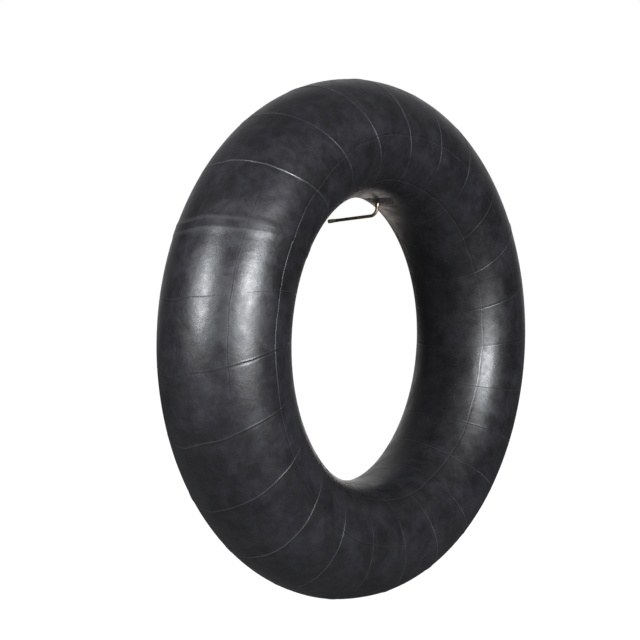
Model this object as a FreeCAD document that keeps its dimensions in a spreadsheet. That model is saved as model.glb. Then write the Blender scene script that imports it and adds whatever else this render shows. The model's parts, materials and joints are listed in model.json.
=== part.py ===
# Inner tube for a large truck or earthmover tyre, standing upright on its tread side.
#
# Frame: origin at the ring's centre, +Y along the ring's axis, +Z up, millimetres.
# The valve stands on the inner side of the ring, a little past the top. It has two frames of its own:
#   valve_frame  origin on the rubber, +z towards the ring's centre, +x along the ring's axis
#   mouth_frame  origin at the stem's mouth, +z out of the mouth along the long leg

import FreeCAD, Part

import math
import os
from types import SimpleNamespace

import Sketcher
from FreeCAD import Vector

# Every driving dimension: name, value in millimetres or degrees, meaning.
SIZES = (
    ("ring_radius", 430.0, "ring centre to the middle of the section"),
    ("section_radial", 125.3, "half the section, from the middle towards the crown"),
    ("section_axial", 131.7, "half the section, along the ring's axis"),
    ("rubber_wall", 2.7, "thickness of the inflated rubber"),
    ("foot_sink", 6.0, "how far the resting tube flattens against the ground"),
    ("valve_clock", 9.0, "valve's angle past the top of the ring"),
    ("stem_radius", 3.6, "stem's plain outer radius"),
    ("stem_bore", 1.9, "radius of the air way"),
    ("leg_straight", 3.2, "straight stem between the post and the bend"),
    ("leg_long", 130.0, "corner of the stem's two centre lines to the mouth"),
    ("leg_tilt", 4.4, "long leg's lean towards the ring's centre"),
    ("bend_radius", 16.0, "bend in the stem's centre line"),
    ("hole_ease", 0.6, "how much wider the hole in the rubber is than the air way"),
    ("pad_radius", 36.0, "base pad's outer radius"),
    ("pad_sheet", 2.0, "base pad's thickness away from the boss"),
    ("pad_slope", 4.0, "how much wider and narrower the pad's lower and upper edges are"),
    ("flange_radius", 11.0, "spud's moulded-in flange"),
    ("flange_cover", 1.0, "rubber between the flange and the ring"),
    ("flange_plate", 1.3, "flange thickness"),
    ("boss_cover", 4.0, "rubber round the flange's edge, at the foot of the boss"),
    ("boss_height", 4.6, "rubber to the top of the boss"),
    ("boss_lip", 1.8, "rubber round the post, at the top of the boss"),
    ("post_wall", 1.4, "wall of the spud's post round the stem"),
    ("post_proud", 8.4, "post standing out of the boss"),
    ("post_bevel", 0.7, "turned edge at the top of the post"),
    ("socket_depth", 6.0, "stem's foot inside the post"),
    ("thread_rise", 0.25, "mouth thread's outer radius over the plain stem"),
    ("thread_run", 22.0, "length of the thread"),
    ("thread_lead_in", 0.5, "chamfer at the mouth and at the thread's end"),
    ("chamber_radius", 2.6, "core chamber, where the plug screws in"),
    ("chamber_depth", 7.4, "mouth to the sealing taper"),
    ("taper_depth", 1.8, "length of the sealing taper"),
    ("throat_radius", 2.05, "chamber below the taper"),
    ("throat_spare", 8.8, "throat beyond the core's end"),
    ("plug_recess", 0.8, "mouth to the top of the plug's ears"),
    ("plug_bottom", 6.0, "mouth to the plug's lower face"),
    ("plug_way", 0.65, "air way round the pin in the plug"),
    ("ear_height", 1.8, "ears for the core tool"),
    ("ear_width", 1.8, "ears, across the slot"),
    ("head_clearance", 0.3, "barrel's head inside the chamber"),
    ("barrel_bore", 1.25, "radius of the spring's room"),
    ("barrel_wall", 0.3, "barrel's wall below its head"),
    ("barrel_room", 7.6, "plug to the spring's seat"),
    ("barrel_end", 1.4, "thickness of the barrel's end"),
    ("barrel_way", 0.25, "air way round the pin in the barrel's end"),
    ("gasket_set", 0.2, "start of the taper to the top of the barrel gasket"),
    ("gasket_height", 1.4, "height of the barrel gasket"),
    ("seal_gap", 0.02, "clearance between the barrel gasket and its taper"),
    ("pin_radius", 0.5, "core pin"),
    ("pin_recess", 0.3, "mouth to the pin's tip"),
    ("pin_tail", 0.3, "pin below the cup"),
    ("collar_drop", 1.0, "plug to the collar that the spring pushes on"),
    ("collar_plate", 0.8, "collar thickness"),
    ("collar_clearance", 0.2, "collar inside the barrel"),
    ("spring_wire", 0.14, "wire radius"),
    ("spring_coils", 8.0, "number of coils"),
    ("cup_clearance", 0.2, "cup inside the throat"),
    ("cup_wall", 0.25, "cup's rim"),
    ("cup_floor", 1.0, "thickness of the cup's bottom"),
    ("cup_seal", 0.9, "thickness of the cup's rubber washer"),
    ("cup_lip", 0.2, "rubber standing out of the cup"),
    ("cap_clearance", 0.05, "running clearance between cap and thread"),
    ("cap_wall", 0.6, "wall of the cap's skirt"),
    ("cap_skirt", 9.6, "cap's skirt over the thread"),
    ("cap_roof", 1.4, "cap's end wall"),
    ("cap_bevel", 0.8, "chamfer round the cap's end"),
    ("cap_flutes", 18.0, "number of grip flutes"),
    ("flute_radius", 0.35, "grip flute"),
    ("liner_plate", 1.0, "thickness of the rubber disc in the cap"),
    ("liner_hole", 1.6, "hole in that disc, clear of the pin"),
    ("liner_gap", 0.05, "clearance at the disc's faces and edge"),
)


class Size:
    """A dimension: its number, and the sheet expression that gives it."""

    def __init__(self, number, text):
        self.number = number
        self.text = text

    def joined(self, sign, other, number):
        return Size(number, f"({self.text} {sign} {other.text})")

    def __add__(self, other):
        return self.joined("+", as_size(other), self.number + as_size(other).number)

    def __sub__(self, other):
        return self.joined("-", as_size(other), self.number - as_size(other).number)

    def __mul__(self, other):
        return self.joined("*", as_size(other), self.number * as_size(other).number)

    def __truediv__(self, other):
        return self.joined("/", as_size(other), self.number / as_size(other).number)

    def __neg__(self):
        return ZERO - self


def as_size(value):
    """A plain number as a Size; a Size as it is."""
    return value if isinstance(value, Size) else Size(float(value), str(float(value)))


def sine(angle):
    """Sine of an angle in degrees."""
    return Size(math.sin(math.radians(angle.number)), f"sin({angle.text})")


def cosine(angle):
    """Cosine of an angle in degrees."""
    return Size(math.cos(math.radians(angle.number)), f"cos({angle.text})")


def tangent(angle):
    """Tangent of an angle in degrees."""
    return Size(math.tan(math.radians(angle.number)), f"tan({angle.text})")


ZERO = as_size(0.0)
HALF_TURN = as_size(180.0)
QUARTER_TURN = as_size(90.0)

os.makedirs("parts", exist_ok=True)
doc = FreeCAD.newDocument("inner_tube")


# ---------------------------------------------------------------- the sheet

sheet = doc.addObject("Spreadsheet::Sheet", "Sizes")
for row, (alias, value, meaning) in enumerate(SIZES, start=1):
    sheet.set(f"A{row}", meaning)
    sheet.set(f"B{row}", str(value))
    sheet.setAlias(f"B{row}", alias)
doc.recompute()

s = SimpleNamespace(**{alias: Size(value, f"Sizes.{alias}") for alias, value, _ in SIZES})

# The valve's base, in the valve frame: radii, then heights counted from the rubber.
air_hole = s.stem_bore + s.hole_ease
post_radius = s.stem_radius + s.post_wall
boss_foot = s.flange_radius + s.boss_cover
boss_crown = post_radius + s.boss_lip
boss_shoulder = s.flange_radius + s.boss_cover / 2
flange_top = s.flange_cover + s.flange_plate
shoulder_up = flange_top + s.flange_cover
post_top = s.boss_height + s.post_proud
socket_floor = post_top - s.socket_depth

# The stem's bend, in the valve frame's x-z plane.
bend_angle = QUARTER_TURN - s.leg_tilt
bend_reach = s.bend_radius * tangent(bend_angle / 2)
bend_start = post_top + s.leg_straight
corner_up = bend_start + bend_reach
mouth_across = s.leg_long * cosine(s.leg_tilt)
mouth_up = corner_up + s.leg_long * sine(s.leg_tilt)

# The core, in the mouth frame: radii, then depths counted inwards.
barrel_head = s.chamber_radius - s.head_clearance
barrel_radius = s.barrel_bore + s.barrel_wall
barrel_hole = s.pin_radius + s.barrel_way
plug_hole = s.pin_radius + s.plug_way
collar_radius = s.barrel_bore - s.collar_clearance
spring_radius = (s.barrel_bore + s.pin_radius) / 2
cup_radius = s.throat_radius - s.cup_clearance
gasket_top = s.chamber_depth + s.gasket_set
gasket_bottom = gasket_top + s.gasket_height
barrel_floor = s.plug_bottom + s.barrel_room
barrel_bottom = barrel_floor + s.barrel_end
collar_top = s.plug_bottom + s.collar_drop
collar_bottom = collar_top + s.collar_plate
cup_rim = barrel_bottom + s.cup_lip
cup_seat = barrel_bottom + s.cup_seal
cup_end = cup_seat + s.cup_floor
pin_end = cup_end + s.pin_tail
throat_depth = pin_end + s.throat_spare

# The thread and the cap, in the mouth frame: radii, then heights counted outwards.
thread_radius = s.stem_radius + s.thread_rise
cap_bore = thread_radius + s.cap_clearance
cap_radius = cap_bore + s.cap_wall
liner_top = s.liner_gap + s.liner_plate
roof_under = liner_top + s.liner_gap
cap_top = roof_under + s.cap_roof

# The ring's inner side, where the valve stands, and the depth of the ground.
seat_radius = s.ring_radius - s.section_radial
ground = s.ring_radius + s.section_radial - s.foot_sink


# ---------------------------------------------------------------- helpers

def bind(thing, **sizes):
    """Bind properties of a document object to sheet expressions."""
    for name, value in sizes.items():
        thing.setExpression(name, as_size(value).text)


def vector_text(across, deep, up):
    """Expression for a vector of three sizes."""
    return f"create(<<vector>>; {across.text}; {deep.text}; {up.text})"


def frame(name, placement):
    """A named placement that sub-parts are set in."""
    holder = doc.addObject("App::Placement", name)
    holder.setExpression("Placement", placement)
    return holder


def set_in(thing, holder):
    """Put a sub-part in a frame."""
    thing.setExpression("Placement", f"{holder.Name}.Placement")
    return thing


def new_body(label, holder=None):
    """An empty body, in a frame or in the ring's own."""
    body = doc.addObject("PartDesign::Body", label)
    return set_in(body, holder) if holder else body


def sketch_on(body, role, name, lift=None):
    """A sketch on one of the body's origin planes, lifted along the plane's normal if asked."""
    sketch = body.newObject("Sketcher::SketchObject", name)
    plane = next(item for item in body.Origin.OriginFeatures if item.Role == role)
    sketch.AttachmentSupport = [(plane, "")]
    sketch.MapMode = "FlatFace"
    if lift is not None:
        sketch.setExpression("AttachmentOffset.Base.z", lift.text)
    return sketch


def rule(sketch, kind, *where, size=None):
    """Add one constraint, bound to a size if it has one."""
    if size is None:
        return sketch.addConstraint(Sketcher.Constraint(kind, *where))
    index = sketch.addConstraint(Sketcher.Constraint(kind, *where, size.number))
    sketch.setExpression(f"Constraints[{index}]", size.text)
    return index


def fix_point(sketch, edge, point, across, up):
    """Hold a point of an edge at a place counted from the sketch's origin."""
    rule(sketch, "DistanceX", -1, 1, edge, point, size=across)
    rule(sketch, "DistanceY", -1, 1, edge, point, size=up)


def outline(sketch, corners):
    """A closed outline of straight edges through the given (across, up) corners."""
    corners = [(as_size(across), as_size(up)) for across, up in corners]
    points = [Vector(across.number, up.number, 0) for across, up in corners]
    count = len(points)
    first = sketch.GeometryCount
    for index, start in enumerate(points):
        sketch.addGeometry(Part.LineSegment(start, points[(index + 1) % count]))
    for index, (across, up) in enumerate(corners):
        rule(sketch, "Coincident", first + index, 2, first + (index + 1) % count, 1)
        fix_point(sketch, first + index, 1, across, up)


def circle(sketch, radius, across=ZERO, up=ZERO):
    """A circle of the given radius about a point."""
    centre = Vector(across.number, up.number, 0)
    edge = sketch.addGeometry(Part.Circle(centre, Vector(0, 0, 1), radius.number))
    fix_point(sketch, edge, 3, across, up)
    rule(sketch, "Radius", edge, size=radius)


def turned(label, holder, corners):
    """A body turned about its z axis from an outline of (radius, height) corners."""
    body = new_body(label, holder)
    sketch = sketch_on(body, "XZ_Plane", f"{label}_outline")
    outline(sketch, corners)
    turn = body.newObject("PartDesign::Revolution", f"{label}_turn")
    turn.Profile = sketch
    turn.ReferenceAxis = (sketch, ["V_Axis"])
    turn.Angle = 360.0
    return body


def cut(label, base, tool):
    """One solid less another."""
    piece = doc.addObject("Part::Cut", label)
    piece.Base = base
    piece.Tool = tool
    return piece


def fused(label, *pieces):
    """Several solids as one."""
    piece = doc.addObject("Part::MultiFuse", label)
    piece.Shapes = list(pieces)
    return piece


# ---------------------------------------------------------------- frames

valve_frame = frame(
    "valve_frame",
    "create(<<placement>>; "
    + vector_text(seat_radius * sine(s.valve_clock), ZERO, seat_radius * cosine(s.valve_clock))
    + f"; create(<<rotation>>; 90; 0; {(HALF_TURN + s.valve_clock).text}))",
)
mouth_on_valve = frame(
    "mouth_on_valve",
    "create(<<placement>>; "
    + vector_text(mouth_across, ZERO, mouth_up)
    + f"; create(<<rotation>>; create(<<vector>>; 0; 1; 0); {bend_angle.text}))",
)
mouth_frame = frame("mouth_frame", "valve_frame.Placement * mouth_on_valve.Placement")


# ---------------------------------------------------------------- the rubber ring

def ring_solid(label, radial, axial):
    """A full ring about the Y axis whose section is an ellipse with the given half-axes."""
    body = new_body(label)
    sketch = sketch_on(body, "XY_Plane", f"{label}_section")
    centre = Vector(s.ring_radius.number, 0, 0)
    tips = [(radial, centre + Vector(radial.number, 0, 0)), (axial, centre + Vector(0, axial.number, 0))]
    tips.sort(key=lambda tip: tip[0].number, reverse=True)
    (long_half, long_tip), (short_half, short_tip) = tips
    edge = sketch.addGeometry(Part.Ellipse(long_tip, short_tip, centre))
    sketch.exposeInternalGeometry(edge)
    fix_point(sketch, edge, 3, s.ring_radius, ZERO)
    rule(sketch, "Horizontal" if long_half is radial else "Vertical", edge + 1)
    rule(sketch, "Distance", edge + 1, size=long_half * 2)
    rule(sketch, "Distance", edge + 2, size=short_half * 2)
    turn = body.newObject("PartDesign::Revolution", f"{label}_turn")
    turn.Profile = sketch
    turn.ReferenceAxis = (sketch, ["V_Axis"])
    turn.Angle = 360.0
    return body


def below_ground(label, height):
    """The block under a level surface at the given depth below the ring's centre."""
    reach = s.ring_radius + s.section_radial
    block = doc.addObject("Part::Box", label)
    bind(block, Length=reach * 2, Width=s.section_axial * 4, Height=reach)
    block.setExpression("Placement.Base.x", (-reach).text)
    block.setExpression("Placement.Base.y", (-(s.section_axial * 2)).text)
    block.setExpression("Placement.Base.z", (-(height + reach)).text)
    return block


def make_tube_body():
    """Hollow ring, flattened where it rests, with the air hole under the valve."""
    outside = cut("ring_outside", ring_solid("ring_full", s.section_radial, s.section_axial),
                  below_ground("ground_block", ground))
    hollow = ring_solid("ring_hollow", s.section_radial - s.rubber_wall, s.section_axial - s.rubber_wall)
    inside = cut("ring_inside", hollow, below_ground("hollow_block", ground - s.rubber_wall))
    hole = turned("ring_air_hole", valve_frame, [
        (0, s.rubber_wall * 3), (air_hole, s.rubber_wall * 3),
        (air_hole, -(s.rubber_wall * 3)), (0, -(s.rubber_wall * 3)),
    ])
    return cut("tube_body", outside, fused("ring_voids", inside, hole))


def make_valve_pad():
    """Base pad that follows the ring's surface, with a boss round the spud."""
    sheet_ring = ring_solid("pad_ring", s.section_radial + s.pad_sheet, s.section_axial + s.pad_sheet)
    dip = s.pad_radius / 3
    disc = turned("pad_disc", valve_frame, [
        (0, -dip), (s.pad_radius + s.pad_slope, -dip), (s.pad_radius - s.pad_slope, dip), (0, dip),
    ])
    plate = doc.addObject("Part::Common", "pad_plate")
    plate.Base = sheet_ring
    plate.Tool = disc
    boss = turned("pad_boss", valve_frame, [
        (0, -s.pad_sheet), (boss_foot, -s.pad_sheet), (boss_foot, ZERO),
        (boss_shoulder, shoulder_up), (boss_crown, s.boss_height), (0, s.boss_height),
    ])
    spud_room = turned("pad_spud_room", valve_frame, [
        (0, -s.pad_sheet), (air_hole, -s.pad_sheet), (air_hole, s.flange_cover),
        (s.flange_radius, s.flange_cover), (s.flange_radius, flange_top),
        (post_radius, flange_top), (post_radius, post_top), (0, post_top),
    ])
    rubber = fused("pad_rubber", plate, boss)
    return cut("valve_pad", rubber, fused("pad_voids", doc.getObject("ring_full"), spud_room))


# ---------------------------------------------------------------- the valve's base

def make_spud():
    """Brass flange with its post and the socket for the stem's foot."""
    return turned("spud", valve_frame, [
        (s.stem_bore, s.flange_cover), (s.flange_radius, s.flange_cover), (s.flange_radius, flange_top),
        (post_radius, flange_top), (post_radius, post_top - s.post_bevel),
        (post_radius - s.post_bevel, post_top), (s.stem_radius, post_top),
        (s.stem_radius, socket_floor), (s.stem_bore, socket_floor),
    ])


# ---------------------------------------------------------------- the bent stem

def stem_run(label, radius, foot, mouth_past):
    """A round rod along the stem's centre line, from a height of its foot to a length past the mouth."""
    body = new_body(label)
    path = sketch_on(body, "XZ_Plane", f"{label}_path")
    reach = s.leg_long + mouth_past
    tilt = math.radians(s.leg_tilt.number)
    along = Vector(math.cos(tilt), math.sin(tilt), 0)
    corner = Vector(0, corner_up.number, 0)
    low = Vector(0, bend_start.number, 0)
    high = corner + along * bend_reach.number
    centre = Vector(s.bend_radius.number, bend_start.number, 0)
    full_bend = Part.Circle(centre, Vector(0, 0, 1), s.bend_radius.number)
    short_leg = path.addGeometry(Part.LineSegment(Vector(0, foot.number, 0), low))
    bend = path.addGeometry(Part.ArcOfCircle(full_bend, math.pi / 2 + tilt, math.pi))
    long_leg = path.addGeometry(Part.LineSegment(high, corner + along * reach.number))
    fix_point(path, short_leg, 1, ZERO, foot)
    rule(path, "Vertical", short_leg)
    rule(path, "DistanceY", -1, 1, short_leg, 2, size=bend_start)
    rule(path, "Tangent", short_leg, 2, bend, 2)
    rule(path, "Radius", bend, size=s.bend_radius)
    rule(path, "Tangent", bend, 1, long_leg, 1)
    fix_point(path, long_leg, 2, reach * cosine(s.leg_tilt), corner_up + reach * sine(s.leg_tilt))
    profile = sketch_on(body, "XY_Plane", f"{label}_profile", lift=foot)
    circle(profile, radius)
    doc.recompute()
    pipe = body.newObject("PartDesign::AdditivePipe", f"{label}_pipe")
    pipe.Profile = profile
    pipe.Spine = path
    return body


def make_bent_stem():
    """Bent brass tube, threaded mouth and core chamber, made upright and set in the valve frame."""
    rod = stem_run("stem_rod", s.stem_radius, socket_floor, -(s.thread_run / 2))
    root = s.thread_lead_in
    sleeve = turned("stem_thread", mouth_on_valve, [
        (0, -s.thread_run), (thread_radius - root, -s.thread_run),
        (thread_radius, -s.thread_run + root), (thread_radius, -root),
        (thread_radius - root, ZERO), (0, ZERO),
    ])
    air_way = stem_run("stem_air_way", s.stem_bore, socket_floor, -(s.thread_run / 2))
    chamber = turned("stem_chamber", mouth_on_valve, [
        (0, ZERO), (s.chamber_radius, ZERO), (s.chamber_radius, -s.chamber_depth),
        (s.throat_radius, -(s.chamber_depth + s.taper_depth)), (s.throat_radius, -throat_depth),
        (0, -throat_depth),
    ])
    stem = cut("bent_stem", fused("stem_metal", rod, sleeve), fused("stem_voids", air_way, chamber))
    return set_in(stem, valve_frame)


# ---------------------------------------------------------------- the valve core

def make_core_plug():
    """Threaded plug, its top cut to two ears for the core tool."""
    body = turned("core_plug", mouth_frame, [
        (plug_hole, -s.plug_bottom), (s.chamber_radius, -s.plug_bottom),
        (s.chamber_radius, -s.plug_recess), (plug_hole, -s.plug_recess),
    ])
    doc.recompute()
    for side in (-1, 1):
        name = "core_plug_ear_far" if side > 0 else "core_plug_ear_near"
        sketch = sketch_on(body, "XY_Plane", f"{name}_outline", lift=-s.plug_recess)
        near = s.ear_width / 2 * side
        far = s.chamber_radius * 2 * side
        reach = s.chamber_radius * 2
        outline(sketch, [(-reach, near), (reach, near), (reach, far), (-reach, far)])
        pocket = body.newObject("PartDesign::Pocket", name)
        pocket.Profile = sketch
        bind(pocket, Length=s.ear_height)
    return body


def make_core_barrel():
    """Brass barrel: a head, a waist for the gasket, the spring's room and a holed end."""
    return turned("core_barrel", mouth_frame, [
        (s.barrel_bore, -s.plug_bottom), (barrel_head, -s.plug_bottom), (barrel_head, -gasket_top),
        (barrel_radius, -gasket_top), (barrel_radius, -barrel_bottom),
        (barrel_hole, -barrel_bottom), (barrel_hole, -barrel_floor), (s.barrel_bore, -barrel_floor),
    ])


def taper_radius(depth):
    """Radius of the sealing taper at a depth below the mouth."""
    slope = (s.chamber_radius - s.throat_radius) / s.taper_depth
    return s.chamber_radius - (depth - s.chamber_depth) * slope


def make_core_barrel_gasket():
    """Tapered ring that seals the barrel in the chamber."""
    return turned("core_barrel_gasket", mouth_frame, [
        (barrel_radius, -gasket_bottom), (taper_radius(gasket_bottom) - s.seal_gap, -gasket_bottom),
        (taper_radius(gasket_top) - s.seal_gap, -gasket_top), (barrel_radius, -gasket_top),
    ])


def make_core_pin():
    """Pin with the collar that the spring lifts."""
    return turned("core_pin", mouth_frame, [
        (0, -pin_end), (s.pin_radius, -pin_end), (s.pin_radius, -collar_bottom),
        (collar_radius, -collar_bottom), (collar_radius, -collar_top),
        (s.pin_radius, -collar_top), (s.pin_radius, -s.pin_recess), (0, -s.pin_recess),
    ])


def make_core_spring():
    """Coil spring between the barrel's floor and the pin's collar."""
    room = barrel_floor - collar_bottom - s.spring_wire * 2
    coil = set_in(doc.addObject("Part::Helix", "spring_line"), frame(
        "spring_frame",
        f"mouth_frame.Placement * create(<<placement>>; "
        f"{vector_text(ZERO, ZERO, -(barrel_floor - s.spring_wire))}; create(<<rotation>>; 0; 0; 0))",
    ))
    bind(coil, Radius=spring_radius, Height=room, Pitch=room / s.spring_coils)
    wire = doc.addObject("Part::Circle", "spring_section")
    bind(wire, Radius=s.spring_wire)
    wire.setExpression("Placement", (
        f"spring_frame.Placement * create(<<placement>>; {vector_text(spring_radius, ZERO, ZERO)}; "
        "create(<<rotation>>; create(<<vector>>; 1; 0; 0); 90))"
    ))
    doc.recompute()
    spring = doc.addObject("Part::Sweep", "core_spring")
    spring.Sections = [wire]
    spring.Spine = (coil, [f"Edge{index + 1}" for index in range(len(coil.Shape.Edges))])
    spring.Solid = True
    spring.Frenet = True
    return spring


def make_core_cup():
    """Brass cup on the pin's inner end."""
    wall = cup_radius - s.cup_wall
    return turned("core_cup", mouth_frame, [
        (s.pin_radius, -cup_end), (cup_radius, -cup_end), (cup_radius, -cup_rim),
        (wall, -cup_rim), (wall, -cup_seat), (s.pin_radius, -cup_seat),
    ])


def make_core_cup_seal():
    """Rubber washer in the cup, closed against the barrel's end."""
    wall = cup_radius - s.cup_wall
    return turned("core_cup_seal", mouth_frame, [
        (s.pin_radius, -cup_seat), (wall, -cup_seat), (wall, -barrel_bottom),
        (s.pin_radius, -barrel_bottom),
    ])


# ---------------------------------------------------------------- the cap

def make_cap_shell():
    """Screwed cap with grip flutes round its side."""
    body = turned("cap_shell", mouth_frame, [
        (cap_bore, -s.cap_skirt), (cap_radius, -s.cap_skirt), (cap_radius, cap_top - s.cap_bevel),
        (cap_radius - s.cap_bevel, cap_top), (0, cap_top), (0, roof_under), (cap_bore, roof_under),
    ])
    doc.recompute()
    sketch = sketch_on(body, "XY_Plane", "cap_flute_outline", lift=cap_top)
    circle(sketch, s.flute_radius, across=cap_radius)
    flute = body.newObject("PartDesign::Pocket", "cap_flute")
    flute.Profile = sketch
    bind(flute, Length=cap_top + s.cap_skirt / 2)
    pattern = body.newObject("PartDesign::PolarPattern", "cap_flutes_round")
    pattern.Originals = [flute]
    pattern.Axis = (sketch, ["N_Axis"])
    pattern.Angle = 360.0
    bind(pattern, Occurrences=s.cap_flutes)
    body.Tip = pattern
    return body


def make_cap_gasket():
    """Rubber disc under the cap's roof."""
    edge = cap_bore - s.liner_gap * 2
    return turned("cap_gasket", mouth_frame, [
        (s.liner_hole, s.liner_gap), (edge, s.liner_gap), (edge, liner_top), (s.liner_hole, liner_top),
    ])


# ---------------------------------------------------------------- build, check and write

MAKERS = (
    make_tube_body, make_valve_pad, make_spud, make_bent_stem, make_core_plug, make_core_barrel,
    make_core_barrel_gasket, make_core_pin, make_core_spring, make_core_cup, make_core_cup_seal,
    make_cap_shell, make_cap_gasket,
)
sub_parts = [make() for make in MAKERS]
doc.recompute()

for thing in doc.Objects:
    if "Invalid" in thing.State or "Error" in thing.State:
        raise RuntimeError(f"{thing.Name} failed to build: {thing.State}")
for piece in sub_parts:
    if piece.Shape.isNull() or not piece.Shape.isValid() or not piece.Shape.Solids:
        raise RuntimeError(f"{piece.Label} has no valid solid")

for piece in sub_parts:
    piece.Shape.exportStep(f"parts/{piece.Label}.step")
    print(f"{piece.Label:20s} {piece.Shape.Volume:14.2f} mm3  solids {len(piece.Shape.Solids)}")
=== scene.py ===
"""Looks of a large inner tube that stands on its tread side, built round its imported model.

The rubber ring, its base pad and the valve's stem are modelled here, because their shapes follow a
rule or carry fine detail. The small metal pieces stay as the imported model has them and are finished.
Lengths are metres, angles radians unless a name says degrees. +Y is the ring's axis and +Z is up.
"""

import json
import logging
from dataclasses import dataclass
from enum import Enum
from functools import reduce
from math import atan2, cos, exp, pi, radians, sin, sqrt, tan
from typing import Any, Sequence

import bmesh
import bpy
from bmesh.types import BMVert, BMesh
from bpy.types import ID, Material, Mesh, Node, NodeSocket, NodeTree, Object
from mathutils import Matrix, Vector

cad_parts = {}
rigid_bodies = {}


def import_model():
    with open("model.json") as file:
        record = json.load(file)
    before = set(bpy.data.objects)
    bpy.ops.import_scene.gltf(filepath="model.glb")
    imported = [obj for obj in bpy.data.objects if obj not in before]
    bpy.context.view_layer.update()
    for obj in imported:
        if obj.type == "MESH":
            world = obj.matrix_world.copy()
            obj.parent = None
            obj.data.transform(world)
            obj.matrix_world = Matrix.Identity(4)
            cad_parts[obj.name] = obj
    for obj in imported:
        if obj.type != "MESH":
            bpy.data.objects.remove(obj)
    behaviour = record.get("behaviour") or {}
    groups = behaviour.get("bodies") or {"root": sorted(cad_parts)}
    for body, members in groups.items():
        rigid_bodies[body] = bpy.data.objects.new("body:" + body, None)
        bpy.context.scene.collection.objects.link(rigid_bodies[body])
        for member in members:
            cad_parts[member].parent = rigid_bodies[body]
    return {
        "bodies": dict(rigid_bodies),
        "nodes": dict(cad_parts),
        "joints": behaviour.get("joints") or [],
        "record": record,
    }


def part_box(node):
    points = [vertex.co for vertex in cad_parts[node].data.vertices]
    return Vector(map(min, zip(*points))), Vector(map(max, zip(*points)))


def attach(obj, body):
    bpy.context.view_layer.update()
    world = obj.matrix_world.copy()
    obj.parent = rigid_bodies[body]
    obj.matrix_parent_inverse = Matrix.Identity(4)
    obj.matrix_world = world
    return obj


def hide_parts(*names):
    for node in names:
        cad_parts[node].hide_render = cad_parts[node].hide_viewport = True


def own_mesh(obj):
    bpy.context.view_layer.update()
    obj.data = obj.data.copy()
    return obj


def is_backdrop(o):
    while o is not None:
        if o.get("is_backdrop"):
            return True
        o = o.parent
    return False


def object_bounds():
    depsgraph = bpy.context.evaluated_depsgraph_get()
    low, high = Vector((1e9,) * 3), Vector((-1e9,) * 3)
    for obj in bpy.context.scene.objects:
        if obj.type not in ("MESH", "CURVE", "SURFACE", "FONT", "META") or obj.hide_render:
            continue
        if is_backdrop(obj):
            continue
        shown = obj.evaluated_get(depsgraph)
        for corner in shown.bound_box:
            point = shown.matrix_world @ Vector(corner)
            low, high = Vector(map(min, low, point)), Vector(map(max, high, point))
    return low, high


LOG = logging.getLogger("inner_tube")
MM = 0.001
TURN = 2 * pi
SHARP = radians(50)
WHITE = (1.0, 1.0, 1.0, 1.0)
WARM = (1.0, 0.91, 0.86)


class Body(str, Enum):
    """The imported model's bodies that pieces made here ride on."""

    TUBE = "tube"


class Slot(str, Enum):
    """The record's material slots of the pieces made here."""

    TUBE_RUBBER = "tube_rubber"
    PAD_RUBBER = "pad_rubber"
    BRASS = "brass"
    SPRING_STEEL = "spring_steel"


class Sum(str, Enum):
    """The arithmetic that a node tree does."""

    ADD = "ADD"
    SUBTRACT = "SUBTRACT"
    MULTIPLY = "MULTIPLY"
    DIVIDE = "DIVIDE"
    MULTIPLY_ADD = "MULTIPLY_ADD"
    SINE = "SINE"
    COSINE = "COSINE"
    EXPONENT = "EXPONENT"
    ROUND = "ROUND"
    MODULO = "FLOORED_MODULO"
    ABSOLUTE = "ABSOLUTE"
    TANH = "TANH"
    SOFT_MAX = "SMOOTH_MAX"
    MINIMUM = "MINIMUM"
    MAXIMUM = "MAXIMUM"
    COMPARE = "COMPARE"


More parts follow.
